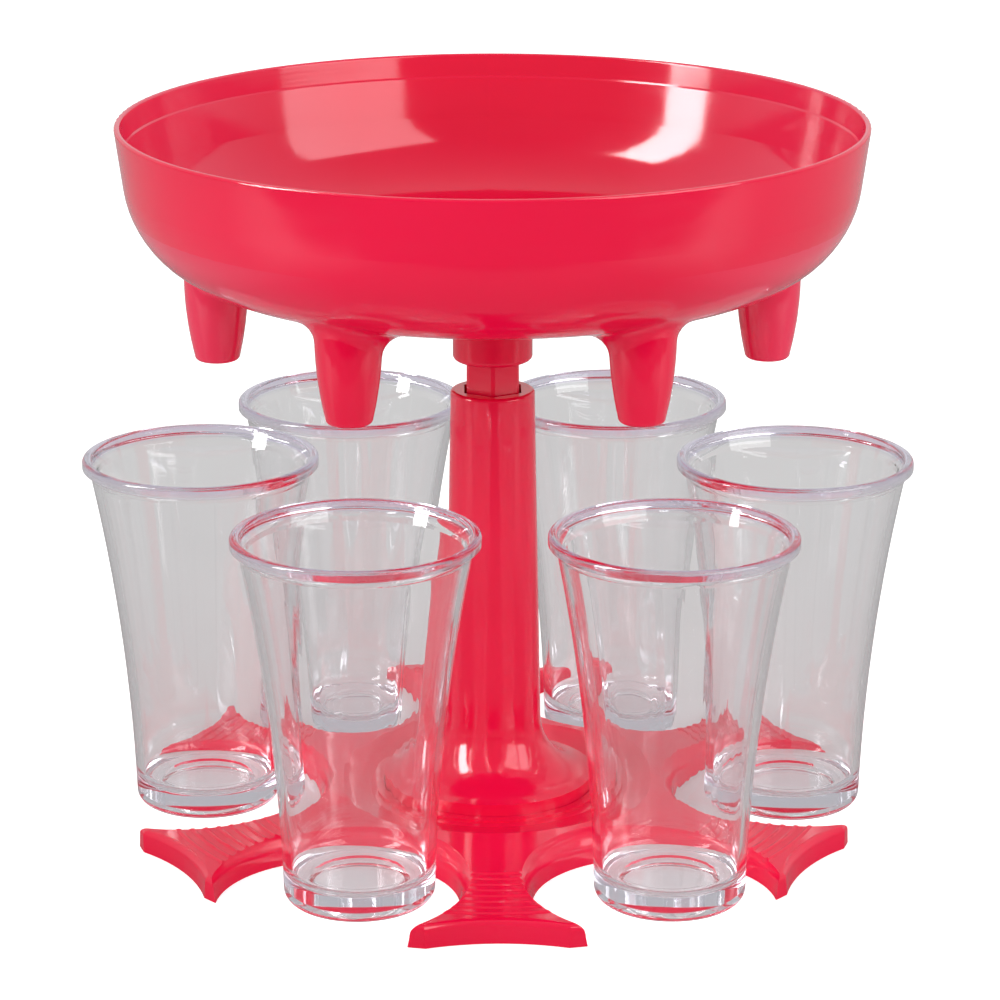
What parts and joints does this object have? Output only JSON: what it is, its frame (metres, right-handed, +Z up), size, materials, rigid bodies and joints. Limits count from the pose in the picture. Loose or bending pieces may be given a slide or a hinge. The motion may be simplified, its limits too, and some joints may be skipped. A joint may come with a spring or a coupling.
{
  "type": "party shot dispenser",
  "caption": "Press-to-pour drink dispenser: a round spouted bowl on a sprung column over a star-shaped base, with clear shot cups standing in the base's bays.",
  "frame": {"origin": "middle of the base's footprint, on the table", "axes": "+Z up the column; +Y along the arm of the base that points to the back, so an arm points to the front along -Y; a cup and a spout lie along +X"},
  "size_m": [0.1758, 0.1544, 0.1503],
  "materials": {
    "red_plastic": "glossy injection-moulded plastic",
    "clear_plastic": "clear polystyrene, polished",
    "silicone": "translucent white silicone rubber, satin",
    "white_plastic": "white acetal, satin",
    "stainless_steel": "drawn stainless steel",
    "zinc_steel": "zinc-plated steel"
  },
  "bodies": {
    "stand": {"base": "red_plastic", "column": "red_plastic", "column_screws": "zinc_steel", "valve_rod": "stainless_steel", "rod_nut": "stainless_steel", "rod_washer": "stainless_steel", "spring": "stainless_steel", "valve_star": "red_plastic", "star_screw": "stainless_steel", "stopper_1": "silicone", "stopper_2": "silicone", "stopper_3": "silicone", "stopper_4": "silicone", "stopper_5": "silicone", "stopper_6": "silicone"},
    "bowl": {"bowl": "red_plastic", "hex_stem": "red_plastic", "stem_retainer": "white_plastic", "stem_gasket": "silicone", "stem_nut": "red_plastic", "rod_seal": "silicone"},
    "cup_1": {"cup_1": "clear_plastic"},
    "cup_2": {"cup_2": "clear_plastic"},
    "cup_3": {"cup_3": "clear_plastic"},
    "cup_4": {"cup_4": "clear_plastic"},
    "cup_5": {"cup_5": "clear_plastic"},
    "cup_6": {"cup_6": "clear_plastic"}
  },
  "joints": [
    {"name": "bowl_press", "type": "slide", "parent": "stand", "child": "bowl", "axis": [0, 0, -1], "range_m": [0, 0.0062], "stiffness_N_per_m": 830, "springref_m": -0.0085, "deforming": ["spring"]},
    {"name": "cup_1_out", "type": "slide", "parent": "stand", "child": "cup_1", "axis": [-0.5, -0.866, 0], "range_m": [0, 0.06]},
    {"name": "cup_2_out", "type": "slide", "parent": "stand", "child": "cup_2", "axis": [-1, 0, 0], "range_m": [0, 0.06]},
    {"name": "cup_3_out", "type": "slide", "parent": "stand", "child": "cup_3", "axis": [-0.5, 0.866, 0], "range_m": [0, 0.06]},
    {"name": "cup_4_out", "type": "slide", "parent": "stand", "child": "cup_4", "axis": [0.5, 0.866, 0], "range_m": [0, 0.06]},
    {"name": "cup_5_out", "type": "slide", "parent": "stand", "child": "cup_5", "axis": [1, 0, 0], "range_m": [0, 0.06]},
    {"name": "cup_6_out", "type": "slide", "parent": "stand", "child": "cup_6", "axis": [0.5, -0.866, 0], "range_m": [0, 0.06]}
  ]
}
